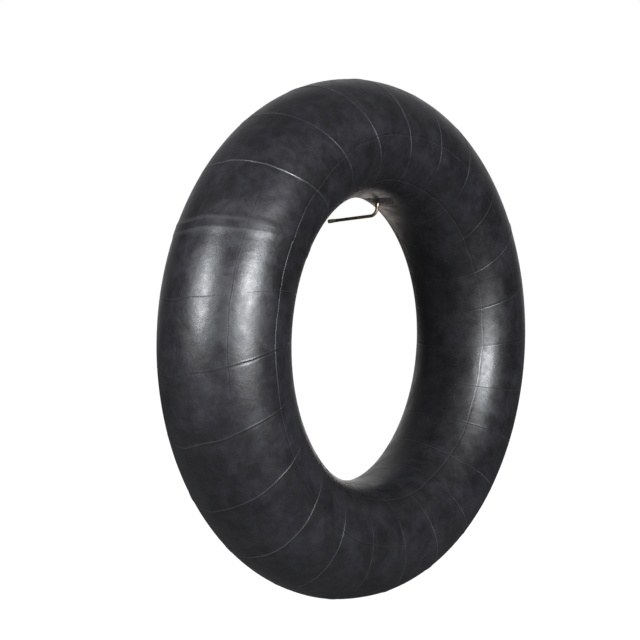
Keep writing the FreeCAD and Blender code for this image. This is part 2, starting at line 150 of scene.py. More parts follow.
class Tree:
    """A node tree with short calls for the nodes that this file uses."""

    def __init__(self, nodes: NodeTree) -> None:
        """Starts an empty tree.

        Args:
            nodes: The Blender node tree to build in.
        """
        self.tree = nodes
        self.tree.nodes.clear()

    def node(self, kind: str, **settings: Any) -> Node:
        """Adds a node.

        Args:
            kind: Blender's name for the node.
            **settings: Properties to set on it.

        Returns:
            The new node.
        """
        made = self.tree.nodes.new(kind)
        for name, value in settings.items():
            setattr(made, name, value)
        return made

    def wired(self, kind: str, inputs: dict[Any, Any], **settings: Any) -> Node:
        """Adds a node and feeds its inputs.

        Args:
            kind: Blender's name for the node.
            inputs: Values or sockets by the input's name or number.
            **settings: Properties to set on it.

        Returns:
            The new node.
        """
        made = self.node(kind, **settings)
        for name, value in inputs.items():
            self.feed(made.inputs[name], value)
        return made

    def feed(self, socket: NodeSocket, value: Any) -> None:
        """Links a socket's value into another socket, or sets a plain value there.

        Args:
            socket: The input.
            value: An output socket, or a number, colour or data-block.
        """
        if isinstance(value, NodeSocket):
            self.tree.links.new(value, socket)
        else:
            socket.default_value = value

    def sum(self, work: Sum, *values: Any) -> NodeSocket:
        """Does one piece of arithmetic.

        Args:
            work: Which.
            *values: Its numbers or sockets, in order.

        Returns:
            The result's socket.
        """
        return self.wired("ShaderNodeMath", dict(enumerate(values)), operation=work.value).outputs[0]

    def add(self, *values: Any) -> NodeSocket:
        """Adds up any number of values.

        Args:
            *values: Numbers or sockets.

        Returns:
            The total's socket.
        """
        return reduce(lambda total, value: self.sum(Sum.ADD, total, value), values)

    def times(self, *values: Any) -> NodeSocket:
        """Multiplies any number of values.

        Args:
            *values: Numbers or sockets.

        Returns:
            The product's socket.
        """
        return reduce(lambda total, value: self.sum(Sum.MULTIPLY, total, value), values)

    def hump(self, distance: Any, width: Any) -> NodeSocket:
        """A smooth hump that is 1 at distance 0 and falls off over a width.

        Args:
            distance: Distance from the hump's line.
            width: How wide the hump is.

        Returns:
            The hump's height, 0 to 1.
        """
        ratio = self.sum(Sum.DIVIDE, distance, width)
        return self.sum(Sum.EXPONENT, self.times(ratio, ratio, -1.0))

    def step(self, value: Any, low: Any, high: Any, start: float = 0.0,
             end: float = 1.0) -> NodeSocket:
        """A smooth step from one value to another.

        Args:
            value: What is stepped on.
            low: Where the step begins.
            high: Where it ends.
            start: The result before the step.
            end: The result after it.

        Returns:
            The step's socket.
        """
        return self.wired("ShaderNodeMapRange", dict(enumerate((value, low, high, start, end))),
                          interpolation_type="SMOOTHSTEP", clamp=True).outputs[0]

    def vector(self, x: Any, y: Any, z: Any) -> NodeSocket:
        """Joins three numbers into a vector.

        Args:
            x: First part.
            y: Second part.
            z: Third part.

        Returns:
            The vector's socket.
        """
        return self.wired("ShaderNodeCombineXYZ", {0: x, 1: y, 2: z}).outputs[0]

    def parts(self, vector: NodeSocket) -> tuple[NodeSocket, ...]:
        """Splits a vector.

        Args:
            vector: The vector's socket.

        Returns:
            Its x, y and z sockets.
        """
        return tuple(self.wired("ShaderNodeSeparateXYZ", {0: vector}).outputs)

    def noise(self, at: Any, scale: Any, detail: float = 2.0, rough: float = 0.5,
              twist: float = 0.0) -> Sequence[NodeSocket]:
        """Adds a noise texture.

        Args:
            at: Where it is read.
            scale: Features in a metre.
            detail: Octaves.
            rough: How strong the finer octaves are.
            twist: Distortion.

        Returns:
            Its value and its colour.
        """
        return self.wired("ShaderNodeTexNoise", {"Vector": at, "Scale": scale, "Detail": detail,
                                                 "Roughness": rough, "Distortion": twist}).outputs


class Recipe(Tree):
    """A Geometry Nodes tree with named inputs, which turns into one plain mesh."""

    def __init__(self, name: str) -> None:
        """Starts the tree.

        Args:
            name: The tree's name, which the finished piece also takes.
        """
        self.name = name
        self.values: dict[str, Any] = {}
        group = bpy.data.node_groups.new(name, "GeometryNodeTree")
        group.interface.new_socket("Geometry", in_out="OUTPUT", socket_type="NodeSocketGeometry")
        super().__init__(group)
        self.entry = self.node("NodeGroupInput")
        self.exit = self.node("NodeGroupOutput")

    def input(self, name: str, value: Any) -> NodeSocket:
        """Adds a named input of the kind that its value needs.

        Args:
            name: The input's name.
            value: A number, whole number or material.

        Returns:
            The socket inside the tree.
        """
        kinds = {int: "NodeSocketInt", float: "NodeSocketFloat", Material: "NodeSocketMaterial"}
        made = self.tree.interface.new_socket(name, in_out="INPUT", socket_type=kinds[type(value)])
        self.values[made.identifier] = value
        return self.entry.outputs[name]

    def inputs(self, source: Any, names: str) -> list[NodeSocket]:
        """Adds inputs for several of a dataclass's values.

        Args:
            source: The dataclass.
            names: Its fields' names, with spaces between them.

        Returns:
            The sockets, in that order.
        """
        return [self.input(name.replace("_", " ").capitalize(), getattr(source, name))
                for name in names.split()]

    def grid(self, columns: Any, rows: Any) -> tuple[NodeSocket, ...]:
        """A flat grid from 0 to 1 both ways, which the tree bends into shape.

        Args:
            columns: Steps along the first way.
            rows: Steps along the second.

        Returns:
            The grid's geometry and its two coordinates.
        """
        made = self.wired("GeometryNodeMeshGrid", {"Vertices X": self.add(columns, 1), "Size X": 1.0,
                                                   "Vertices Y": self.add(rows, 1), "Size Y": 1.0})
        along, across, _ = self.parts(self.node("GeometryNodeInputPosition").outputs[0])
        return made.outputs[0], self.add(along, 0.5), self.add(across, 0.5)

    def keep(self, geometry: NodeSocket, name: str, value: Any) -> NodeSocket:
        """Stores a number at each point for the finish to read.

        Args:
            geometry: The geometry.
            name: The attribute's name.
            value: The number's socket.

        Returns:
            The geometry with its attribute.
        """
        return self.wired("GeometryNodeStoreNamedAttribute",
                          {"Geometry": geometry, "Name": name, "Value": value},
                          data_type="FLOAT", domain="POINT").outputs[0]

    def place(self, geometry: NodeSocket, position: Any) -> NodeSocket:
        """Moves every point.

        Args:
            geometry: The geometry.
            position: Where the points go.

        Returns:
            The moved geometry.
        """
        return self.wired("GeometryNodeSetPosition", {"Geometry": geometry, "Position": position}).outputs[0]

    def mesh(self, geometry: NodeSocket, material: Material, weld: float) -> Mesh:
        """Ends the tree, runs it on an empty mesh and keeps the result.

        Args:
            geometry: The finished geometry.
            material: The mesh's material, which becomes an input.
            weld: Points nearer than this are joined.

        Returns:
            The result as a plain mesh, with no modifier.
        """
        dress = self.input("Material", material)
        for kind, inputs in (("MergeByDistance", {"Distance": weld}), ("SetShadeSmooth", {}),
                             ("RealizeInstances", {}), ("SetMaterial", {"Material": dress})):
            geometry = self.wired(f"GeometryNode{kind}", {"Geometry": geometry, **inputs}).outputs[0]
        self.feed(self.exit.inputs[0], geometry)
        holder = linked(self.name + "_holder", bpy.data.meshes.new(self.name + "_start"))
        modifier = holder.modifiers.new(self.name, "NODES")
        modifier.node_group = self.tree
        for identifier, value in self.values.items():
            modifier[identifier] = value
        holder.update_tag()
        view = bpy.context.evaluated_depsgraph_get()
        made = bpy.data.meshes.new_from_object(holder.evaluated_get(view), depsgraph=view)
        made.name = self.name
        bpy.data.objects.remove(holder)
        return made


def linked(name: str, data: ID) -> Object:
    """Makes an object and puts it in the scene.

    Args:
        name: Its name.
        data: Its mesh, light or camera.

    Returns:
        The object.
    """
    made = bpy.data.objects.new(name, data)
    bpy.context.scene.collection.objects.link(made)
    return made


def finished_piece(mesh: Mesh, body: Body, slot: Slot, *stands_for: str) -> Object:
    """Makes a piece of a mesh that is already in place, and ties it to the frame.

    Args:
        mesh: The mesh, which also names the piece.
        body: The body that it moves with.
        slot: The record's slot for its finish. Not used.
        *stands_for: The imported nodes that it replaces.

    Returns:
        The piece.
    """
    made = linked(mesh.name, mesh)
    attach(made, body.value)
    if stands_for:
        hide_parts(*stands_for)
    LOG.info("%s: %d faces, rides on %s", made.name, len(mesh.polygons), body.value)
    return made


def outward(mesh: Mesh) -> Mesh:
    """Turns every face of a closed mesh outwards.

    Args:
        mesh: The mesh.

    Returns:
        The same mesh.
    """
    shape = bmesh.new()
    shape.from_mesh(mesh)
    bmesh.ops.recalc_face_normals(shape, faces=shape.faces)
    shape.to_mesh(mesh)
    shape.free()
    return mesh


def smooth(share: float) -> float:
    """Eases a share from 0 to 1.

    Args:
        share: The share, which may lie outside 0 to 1.

    Returns:
        The eased share.
    """
    share = min(max(share, 0.0), 1.0)
    return share * share * (3 - 2 * share)


def bridge_loops(shape: BMesh, loops: Sequence[Sequence[BMVert]],
                 closed: bool) -> None:
    """Joins rings of points with faces.

    Args:
        shape: The mesh.
        loops: The rings, each with as many points.
        closed: Whether the last ring joins the first.
    """
    count = len(loops[0])
    pairs = list(zip(loops, loops[1:])) + ([(loops[-1], loops[0])] if closed else [])
    for low, high in pairs:
        for k in range(count):
            after = (k + 1) % count
            shape.faces.new((low[k], low[after], high[after], high[k]))


def mesh_of(shape: BMesh, name: str, material: Material) -> Mesh:
    """Turns a closed shape into a smooth mesh with its faces outwards.

    Args:
        shape: The shape, which is used up.
        name: The mesh's name.
        material: Its material.

    Returns:
        The mesh.
    """
    bmesh.ops.recalc_face_normals(shape, faces=shape.faces)
    mesh = bpy.data.meshes.new(name)
    shape.to_mesh(mesh)
    shape.free()
    mesh.materials.append(material)
    mesh.shade_smooth()
    mesh.set_sharp_from_angle(angle=SHARP)
    return mesh


# ---- finishes


class Skin(Tree):
    """A material's tree, with its shader and the point on the piece that patterns are read at."""

    def __init__(self, name: str, metallic: float) -> None:
        """Starts the material.

        Args:
            name: Its name.
            metallic: 1 for metal, 0 for rubber.
        """
        self.material = bpy.data.materials.new(name)
        self.material.use_nodes = True
        super().__init__(self.material.node_tree)
        self.shader = self.wired("ShaderNodeBsdfPrincipled", {"Metallic": metallic})
        self.wired("ShaderNodeOutputMaterial", {"Surface": self.shader.outputs[0]})
        self.at = self.node("ShaderNodeTexCoord").outputs["Object"]

    def blend(self, share: Any, first: Any, second: Any) -> NodeSocket:
        """Mixes two colours.

        Args:
            share: How much of the second colour.
            first: A colour or socket.
            second: A colour or socket.

        Returns:
            The mixed colour.
        """
        made = self.node("ShaderNodeMix", data_type="RGBA")
        self.feed(made.inputs[0], share)
        for index, colour in ((6, first), (7, second)):
            plain = not isinstance(colour, NodeSocket)
            self.feed(made.inputs[index], (*colour, 1) if plain else colour)
        return made.outputs[2]

    def paint(self, colour: Any, rough: Any, height: Any, depth: float) -> None:
        """Feeds the shader.

        Args:
            colour: The colour's socket.
            rough: The roughness's socket.
            height: Socket of the surface's height, 0 to 1.
            depth: How far that height reaches.
        """
        bump = self.wired("ShaderNodeBump", {"Strength": 1.0, "Distance": depth, "Height": height})
        for name, value in (("Base Color", colour), ("Roughness", rough), ("Normal", bump.outputs[0])):
            self.feed(self.shader.inputs[name], value)


@dataclass(frozen=True)
class Finish:
    """A material made of uniform values and a pattern of its own.

    Args:
        name: The material's name.
        metallic: 1 for metal, 0 for rubber.
    """

    name: str
    metallic: float = 0.0

    def material(self) -> Material:
        """Builds the material.

        Returns:
            The material.
        """
        skin = Skin(self.name, self.metallic)
        self.pattern(skin)
        return skin.material

    def pattern(self, skin: Skin) -> None:
        """Paints the skin.

        Args:
            skin: The material's tree.
        """
        raise NotImplementedError


@dataclass(frozen=True)
class TubeRubber(Finish):
    """Cured butyl rubber: near-black, clouded by bloom and dusting powder, with satin gloss.

    Args:
        deep: The clean rubber's colour.
        bloom: The clouded rubber's colour.
        worn: Colour on the mould lines' tops: partly rubbing wear, partly a painted highlight.
        painted_shade: Painted shade in the feet and grooves of the mould lines and beside the splice.
        gloss_low: Roughness of the clean rubber.
        gloss_high: Roughness of the clouded rubber.
        uneven: Height of the fine ripples.
    """

    deep: tuple[float, float, float] = (0.0055, 0.0055, 0.0066)
    bloom: tuple[float, float, float] = (0.0135, 0.0136, 0.0162)
    worn: tuple[float, float, float] = (0.10, 0.10, 0.105)
    painted_shade: tuple[float, float, float] = (0.003, 0.003, 0.0035)
    gloss_low: float = 0.33
    gloss_high: float = 0.50
    uneven: float = 0.5 * MM

    def pattern(self, skin: Skin) -> None:
        """Clouds, wipe marks and grain; mould lines get wear with a painted highlight on top, painted shade
        at the foot.

        Args:
            skin: The material's tree.
        """
        cloud = skin.noise(skin.at, 9.0, detail=5.0, rough=0.55, twist=0.6)[0]
        blotch = skin.noise(skin.at, 34.0, detail=4.0, rough=0.6, twist=0.4)[0]
        grain = skin.noise(skin.at, 170.0, detail=5.0, rough=0.7, twist=1.6)[0]
        patchy = skin.noise(skin.at, 22.0, detail=5.0, rough=0.65, twist=0.8)[0]
        ripple = skin.noise(skin.at, 55.0, detail=4.0, rough=0.55)[0]
        fog = skin.step(skin.add(skin.times(cloud, 0.5), skin.times(blotch, 0.5)), 0.34, 0.70)
        shaded = skin.wired("ShaderNodeVectorMath", {0: skin.blend(fog, self.deep, self.bloom),
                                                     "Scale": skin.step(grain, 0.35, 0.75, 0.82, 1.18)},
                            operation="SCALE")
        crest, trough = (skin.node("ShaderNodeAttribute", attribute_name=name).outputs["Fac"]
                         for name in ("crest", "trough"))
        # Paler tops of the mould lines: partly rubbing wear, partly a painted highlight.
        rubbed_and_highlit = skin.blend(skin.times(crest, 0.45), shaded.outputs[0], self.worn)
        rough = skin.step(skin.add(skin.times(patchy, 0.7), skin.times(fog, 0.3)), 0.25, 0.8,
                          self.gloss_low, self.gloss_high)
        # Painted shade darkens the feet and grooves of the mould lines and the splice's sides.
        skin.paint(skin.blend(skin.times(trough, 0.8), rubbed_and_highlit, self.painted_shade), rough,
                   skin.add(ripple, skin.times(grain, 0.10)), self.uneven)


@dataclass(frozen=True)
class Metal(Finish):
    """A metal with drawn or turned marks and tarnish.

    Args:
        clean: The bare metal's colour.
        tarnish: The dulled metal's colour.
        dulled: How much of it is dulled, 0 to 1.
        rough: Roughness of the bare metal.
        metallic: 1 for metal.
        darkening_from: Where along +Y it starts to darken.
        darkening_to: Where it is darkest.
        darkening: How dark it gets, 0 to 1.
        darkest_colour: The darkest metal's colour.
        uneven: Depth of the fine marks.
    """

    clean: tuple[float, float, float] = (0.6, 0.45, 0.2)
    tarnish: tuple[float, float, float] = (0.2, 0.14, 0.07)
    dulled: float = 0.5
    rough: float = 0.28
    metallic: float = 1.0
    darkening_from: float = 0.0
    darkening_to: float = 0.13
    darkening: float = 0.0
    darkest_colour: tuple[float, float, float] = (0.03, 0.024, 0.019)
    uneven: float = 0.03 * MM

    def pattern(self, skin: Skin) -> None:
        """Patches of tarnish over fine marks.

        Args:
            skin: The material's tree.
        """
        patch = skin.noise(skin.at, 160.0, detail=5.0, rough=0.6, twist=0.5)[0]
        marks = skin.noise(skin.at, 2600.0, detail=2.0)[0]
        edge = 1 - self.dulled
        dull = skin.step(patch, edge - 0.25, edge + 0.25)
        _, along, _ = skin.parts(skin.at)
        # Darker along +Y, between darkening_from and darkening_to.
        darkened = skin.step(along, self.darkening_from, self.darkening_to, 0.0, self.darkening)
        colour = skin.blend(darkened, skin.blend(dull, self.clean, self.tarnish), self.darkest_colour)
        skin.paint(colour, skin.add(self.rough, skin.times(dull, 0.22), skin.times(marks, 0.1)), marks,
                   self.uneven)


@dataclass(frozen=True)
class SealRubber(Finish):
    """Fine moulded rubber of pads, washers and discs.

    Args:
        dark: The rubber's colour.
        dusty: Its colour where powder clings.
        uneven: Depth of the grain.
    """

    dark: tuple[float, float, float] = (0.010, 0.010, 0.011)
    dusty: tuple[float, float, float] = (0.035, 0.034, 0.033)
    uneven: float = 0.08 * MM

    def pattern(self, skin: Skin) -> None:
        """Powdery mottling and a fine grain.

        Args:
            skin: The material's tree.
        """
        dust = skin.noise(skin.at, 180.0, detail=5.0, rough=0.6)[0]
        grain = skin.noise(skin.at, 1500.0, detail=3.0)[0]
        skin.paint(skin.blend(skin.step(dust, 0.4, 0.7), self.dark, self.dusty),
                   skin.step(dust, 0.3, 0.7, 0.48, 0.62), grain, self.uneven)


# ---- the rubber ring


@dataclass
class RubberRing:
    """The hollow ring, blown up: a torus with mould lines, a splice and a flat foot.

    Ribs run across the section and lines run round the ring. Both wander a little, and the grid's
    columns and rows crowd together along them, so that each is real geometry.
    """

    radius: float
    section_radial: float
    section_axial: float
    ground: float
    ribs: int = 24
    lines: int = 8
    columns: int = 432
    rows: int = 224
    rib_crowding: float = 0.93
    line_crowding: float = 0.90
    rib_height: float = 1.1 * MM
    rib_width: float = 0.85 * MM
    line_height: float = 0.8 * MM
    line_width: float = 0.95 * MM
    lap_height: float = 0.9 * MM
    lap_half: float = 11.0 * MM
    lap_edge: float = 1.0 * MM
    lap_rib: int = 20
    wander: float = 5.0 * MM
    swell: float = 0.35 * MM
    foot_blend: float = 12.0 * MM
    drift_mean: float = radians(-1.9)
    drift_swing: float = radians(-2.0)
    drift_phase: float = radians(43.8)
    halves_slip: float = radians(0.55)
    slant: float = radians(8.0)
    slant_rest: float = 0.40
    crease_reach: float = 0.20
    inner_line_shift: float = radians(25.0)
    inner_line_reach: float = radians(30.0)
    seed: int = 7
    slow_wander: float = 3.2
    quick_sway: float = 0.9
    quick_roll: float = 1.6
    foot_away: float = 1.9
    foot_depth: float = 0.7
    groove_away: float = 2.2
    groove_depth: float = 0.9
    ridge_share: float = 0.3
    line_least: float = 0.28
    line_inner: float = 0.3
    line_reach: float = 0.2
    line_shares: Sequence[tuple[float, float]] = (
        (radians(90), 0.72), (radians(270), 0.72), (radians(135), 0.5))
    weld: float = 0.02 * MM

    def build(self, finish: Finish) -> Object:
        """Makes the ring.

        Args:
            finish: Its rubber.

        Returns:
            The piece.
        """
        mesh = self._mesh(finish.material())
        return finished_piece(outward(mesh), Body.TUBE, Slot.TUBE_RUBBER, "tube_body")

    def _mesh(self, material: Material) -> Mesh:
        """Builds and runs the ring's node tree.

        Args:
            material: The ring's material.

        Returns:
            The ring's mesh.
        """
        made = Recipe("rubber_ring")
        radius, high, wide, ground, ribs, lines = made.inputs(
            self, "radius section_radial section_axial ground ribs lines")
        rib_height, rib_width, line_height, line_width = made.inputs(
            self, "rib_height rib_width line_height line_width")
        wander, swell, seed, columns, rows = made.inputs(self, "wander swell seed columns rows")

        sheet, along, across = made.grid(columns, rows)
        rib_count = self._crowded(made, made.times(along, ribs), self.rib_crowding)
        line_count = self._crowded(made, made.times(across, lines), self.line_crowding)
        rib_step = made.sum(Sum.DIVIDE, TURN, ribs)
        line_step = made.sum(Sum.DIVIDE, TURN, lines)
        plain_turn = made.times(rib_count, rib_step)
        drift = made.sum(Sum.MULTIPLY_ADD, made.sum(Sum.COSINE, made.add(plain_turn, self.drift_phase)),
                         self.drift_swing, self.drift_mean)
        plain_tilt = made.times(line_count, line_step)
        inner = made.hump(made.add(plain_tilt, -pi), self.inner_line_reach)
        tilt = made.add(plain_tilt, made.times(inner, self.inner_line_shift))
        stand, side = made.sum(Sum.COSINE, tilt), made.sum(Sum.SINE, tilt)
        slip = made.times(made.sum(Sum.TANH, made.times(side, 6.0)), self.halves_slip)
        lean = made.times(made.add(made.times(stand, -0.5), 0.5 - self.slant_rest), self.slant)
        turn = made.add(plain_turn, drift, slip, lean)

        reach = made.add(radius, made.times(high, stand))
        spot = self._point(made, turn, reach, made.times(wide, side, -1.0))
        creased = made.hump(made.times(reach, made.sum(Sum.COSINE, turn)), self.crease_reach)
        inside = made.step(stand, -0.45, -0.05, 1.0, 0.0)
        raised = made.times(made.sum(Sum.MULTIPLY_ADD, creased, -0.8, 1.0),
                            made.sum(Sum.MULTIPLY_ADD, inside, -0.65, 1.0))
        spot = made.wired("ShaderNodeVectorMath", {0: spot, 1: made.vector(seed, 0.0, 0.0)},
                          operation="ADD").outputs[0]
        slow_turn, slow_tilt, _ = made.parts(made.noise(spot, 5.0, detail=2.0)[1])
        quick_turn, quick_tilt, _ = made.parts(made.noise(spot, 24.0, detail=2.0)[1])
        sway, roll = (made.add(made.times(made.add(slow_part, -0.5), self.slow_wander),
                               made.times(made.add(quick_part, -0.5), quick_share))
                      for slow_part, quick_part, quick_share in ((slow_turn, quick_turn, self.quick_sway),
                                                                 (slow_tilt, quick_tilt, self.quick_roll)))
        turn = made.add(turn, made.sum(Sum.DIVIDE, made.times(sway, wander), reach))
        tilt = made.add(tilt, made.sum(Sum.DIVIDE, made.times(roll, wander), wide))

        rib_number = made.sum(Sum.ROUND, rib_count)
        rib_away = made.times(made.sum(Sum.SUBTRACT, rib_count, rib_number), rib_step, reach)
        line_off = made.sum(Sum.SUBTRACT, line_count, made.sum(Sum.ROUND, line_count))
        line_away = made.times(line_off, line_step, wide)
        which_rib = made.sum(Sum.MODULO, rib_number, ribs)
        is_lap = made.sum(Sum.COMPARE, which_rib, float(self.lap_rib), 0.4)
        no_lap = made.sum(Sum.SUBTRACT, 1.0, is_lap)

        patch = made.noise(spot, 7.0, detail=2.0)[0]
        fade = made.step(patch, 0.34, 0.58, 0.35, 1.0)
        chance = made.wired("FunctionNodeRandomValue", {2: 0.55, 3: 1.0, "ID": which_rib, "Seed": seed},
                            data_type="FLOAT")
        rib = made.times(made.hump(rib_away, rib_width), fade, chance.outputs[1], no_lap, raised)
        below = made.add(rib_away, made.times(rib_width, self.foot_away))
        foot = made.times(made.hump(below, rib_width), fade, no_lap,
                          made.sum(Sum.MULTIPLY_ADD, creased, 0.6, 0.4))
        patch_line = made.noise(spot, 4.0, detail=1.0)[0]
        plain = made.add(self.line_least, made.times(inner, self.line_inner),
                         *(made.times(made.hump(made.add(plain_tilt, -where), self.line_reach), share)
                           for where, share in self.line_shares))
        fade_line = made.times(made.step(patch_line, 0.36, 0.6, 0.35, 1.0), plain)
        ridge = made.times(made.hump(line_away, line_width), fade_line)
        beside = made.add(line_away, made.times(line_width, self.groove_away))
        groove = made.times(made.hump(beside, line_width), fade_line)

        lap_up = made.step(rib_away, -(self.lap_half + self.lap_edge), -(self.lap_half - self.lap_edge))
        lap_down = made.step(rib_away, self.lap_half - self.lap_edge, self.lap_half + self.lap_edge, 1.0, 0.0)
        lap_lip, lap_side = (
            made.add(*(made.hump(made.add(rib_away, way * half), self.lap_edge) for way in (1, -1)))
            for half in (self.lap_half, self.lap_half + 2 * self.lap_edge))
        lap = made.times(is_lap, made.add(made.times(lap_up, lap_down), made.times(lap_lip, 0.5)))

        uneven = made.sum(Sum.MULTIPLY_ADD, made.noise(spot, 3.5, detail=3.0)[0], 4.0, -2.0)
        height = made.add(made.times(rib, rib_height), made.times(foot, rib_height, -self.foot_depth),
                          made.times(ridge, line_height, self.ridge_share),
                          made.times(groove, line_height, -self.groove_depth),
                          made.times(lap, self.lap_height), made.times(uneven, swell))
        stand, side = made.sum(Sum.COSINE, tilt), made.sum(Sum.SINE, tilt)
        reach = made.add(radius, made.times(made.add(high, height), stand))
        depth = made.times(made.add(wide, height), side, -1.0)
        x, y, z = made.parts(self._point(made, turn, reach, depth))
        floor = made.sum(Sum.SOFT_MAX, z, ground, self.foot_blend)
        # crest: where the finish paints the mould lines' tops paler, partly wear and partly a painted
        # highlight.
        crest = made.add(rib, made.times(ridge, 0.2), made.times(is_lap, lap_lip, 0.4))
        # trough: where the finish paints shade into the feet, grooves and the splice's sides.
        trough = made.add(foot, groove, made.times(is_lap, lap_side))
        marked = made.keep(made.keep(sheet, "crest", crest), "trough", trough)
        bent = made.place(marked, made.vector(x, y, floor))
        return made.mesh(bent, material, self.weld)

    @staticmethod
    def _crowded(made: Recipe, count: NodeSocket, crowding: float) -> NodeSocket:
        """Draws evenly spaced steps together round each whole number.

        Args:
            made: The tree.
            count: The even steps.
            crowding: 0 leaves them, and near 1 they almost meet.

        Returns:
            The crowded steps.
        """
        wave = made.sum(Sum.SINE, made.times(count, TURN))
        return made.sum(Sum.MULTIPLY_ADD, wave, -crowding / TURN, count)

    @staticmethod
    def _point(made: Recipe, turn: Any, reach: Any, depth: Any) -> NodeSocket:
        """A point of the ring.

        Args:
            made: The tree.
            turn: Angle from the top towards +X.
            reach: Distance from the ring's axis.
            depth: Place along the axis.

        Returns:
            The point's vector.
        """
        return made.vector(made.times(reach, made.sum(Sum.SINE, turn)), depth,
                           made.times(reach, made.sum(Sum.COSINE, turn)))


# ---- the valve


@dataclass(frozen=True)
class ValvePlace:
    """Where the valve stands: a seat on the rubber, a short leg inwards and a long leg to the mouth.

    Args:
        mouth: Middle of the mouth.
        outwards: Way out of the mouth, along the long leg.
        seat_radius: Distance from the ring's axis to the rubber under the valve.
        long_leg: From the corner of the two centre lines to the mouth.
    """

    mouth: Vector
    outwards: Vector
    seat_radius: float
    long_leg: float = 130.0 * MM

    @property
    def corner(self) -> Vector:
        """Where the two legs' centre lines meet."""
        return self.mouth - self.outwards * self.long_leg

    @property
    def inwards(self) -> Vector:
        """Way from the rubber towards the ring's centre."""
        return -self.corner.normalized()

    @property
    def short_leg(self) -> float:
        """From the rubber to the corner."""
        return self.seat_radius - self.corner.length

    @property
    def clock(self) -> float:
        """The valve's angle past the top of the ring."""
        return atan2(self.corner.x, self.corner.z)

    @property
    def across(self) -> Vector:
        """Square to both legs."""
        return self.inwards.cross(self.outwards).normalized()


@dataclass
class BasePad:
    """Round rubber pad cured onto the ring, with a feathered edge, moulded rings and a low boss."""

    place: ValvePlace
    ring: RubberRing
    reach: float = 36.0 * MM
    sheet: float = 2.0 * MM
    feather: float = 12.0 * MM
    boss_foot: float = 21.0 * MM
    boss_crown: float = 6.8 * MM
    boss_height: float = 4.6 * MM
    hole: float = 5.0 * MM
    sunk: float = 1.2 * MM
    rings: int = 3
    ring_height: float = 0.15 * MM
    crease: float = 1.2 * MM
    crease_way: float = radians(118.0)
    crease_half: float = radians(13.0)
    crease_start: float = 4.0 * MM
    crease_past: float = 4.0 * MM
    crease_fade: float = 14.0 * MM
    steps: int = 120
    around: int = 128

    def build(self, finish: Finish) -> Object:
        """Makes the pad.

        Args:
            finish: Its rubber.

        Returns:
            The piece.
        """
        profile = [self.hole + (self.reach - self.hole) * i / self.steps for i in range(self.steps + 1)]
        outline = [(r, self._height(r)) for r in profile]
        outline += [(self.reach, -self.sunk), (self.boss_foot, -self.sunk), (self.hole, -self.sunk)]
        angles = [TURN * k / self.around for k in range(self.around)]
        shape = bmesh.new()
        loops = [[shape.verts.new(self._point(radius, angle, height - self._fold(radius, angle, height)))
                  for angle in angles] for radius, height in outline]
        bridge_loops(shape, loops, closed=True)
        mesh = mesh_of(shape, "valve_pad_moulded", finish.material())
        return finished_piece(mesh, Body.TUBE, Slot.PAD_RUBBER, "valve_pad")

    def _height(self, radius: float) -> float:
        """Height of the pad's top over the rubber.

        Args:
            radius: Distance from the valve's axis.

        Returns:
            The height.
        """
        edge = smooth((self.reach - radius) / self.feather) * self.sheet
        boss = smooth((self.boss_foot - radius) / (self.boss_foot - self.boss_crown))
        span = (radius - self.boss_foot) / (self.reach - self.feather - self.boss_foot)
        moulded = 0.0
        if 0 < span < 1:
            moulded = self.ring_height * max(0.0, cos(TURN * self.rings * span)) ** 3
        return edge + boss * (self.boss_height - self.sheet) + moulded

    def _fold(self, radius: float, angle: float, height: float) -> float:
        """Depth of the soft creases that run out from the post.

        Args:
            radius: Distance from the valve's axis.
            angle: Angle about the valve's axis.
            height: Height of the pad's top there.

        Returns:
            The depth, nothing on the underside.
        """
        if height <= 0:
            return 0.0
        away = (angle - self.crease_way + pi) % TURN - pi
        line = exp(-(away / self.crease_half) ** 2)
        begun = smooth((radius - self.hole) / self.crease_start)
        left = smooth((self.boss_foot + self.crease_past - radius) / self.crease_fade)
        return self.crease * line * begun * left

    def _point(self, radius: float, angle: float, height: float) -> Vector:
        """A point of the pad, on or over the ring's inner side.

        Args:
            radius: Distance from the valve's axis, along the rubber.
            angle: Angle about the valve's axis.
            height: Height over the rubber.

        Returns:
            The point.
        """
        depth = radius * sin(angle)
        turn = self.place.clock + radius * cos(angle) / self.place.seat_radius
        dip = self.ring.section_radial * sqrt(1 - (depth / self.ring.section_axial) ** 2)
        out = self.ring.radius - dip - height
        return Vector((out * sin(turn), depth, out * cos(turn)))


